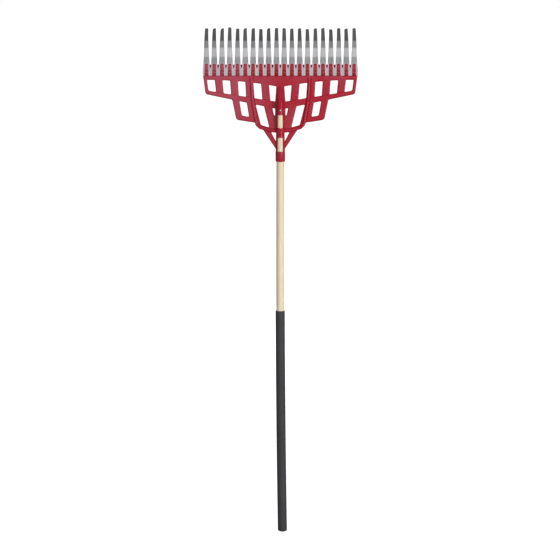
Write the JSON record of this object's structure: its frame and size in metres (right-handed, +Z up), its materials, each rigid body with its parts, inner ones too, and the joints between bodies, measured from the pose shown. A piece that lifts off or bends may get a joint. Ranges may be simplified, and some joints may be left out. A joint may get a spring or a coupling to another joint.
{
  "type": "leaf rake",
  "caption": "Wide fan-shaped leaf rake: flat spring-steel tines clamped in a moulded nylon lattice head, on a straight wooden pole with a long vinyl grip.",
  "frame": {"origin": "on the pole's axis, level with the place where a two-prong tool hook carries the two fork struts of the head, one prong on each side of the socket", "axes": "+Z up along the pole towards the head, X across the head, +Y the way the tines curl"},
  "size_m": [0.6086, 0.1607, 2.0109],
  "materials": {
    "head_plastic": "injection-moulded crimson nylon with a fine spark texture",
    "tine_steel": "galvanised spring-steel strip, dull",
    "pole_wood": "sanded pale ash, clear sealed",
    "grip_vinyl": "dip-smooth charcoal vinyl, satin",
    "screw_steel": "zinc plated"
  },
  "bodies": {
    "root": {"rake_head": "head_plastic", "handle_pole": "pole_wood", "grip_sleeve": "grip_vinyl", "socket_screw": "screw_steel", "tine_01": "tine_steel", "tine_02": "tine_steel", "tine_03": "tine_steel", "tine_04": "tine_steel", "tine_05": "tine_steel", "tine_06": "tine_steel", "tine_07": "tine_steel", "tine_08": "tine_steel", "tine_09": "tine_steel", "tine_10": "tine_steel", "tine_11": "tine_steel", "tine_12": "tine_steel", "tine_13": "tine_steel", "tine_14": "tine_steel", "tine_15": "tine_steel", "tine_16": "tine_steel", "tine_17": "tine_steel", "tine_18": "tine_steel", "tine_19": "tine_steel", "tine_20": "tine_steel"}
  },
  "joints": []
}
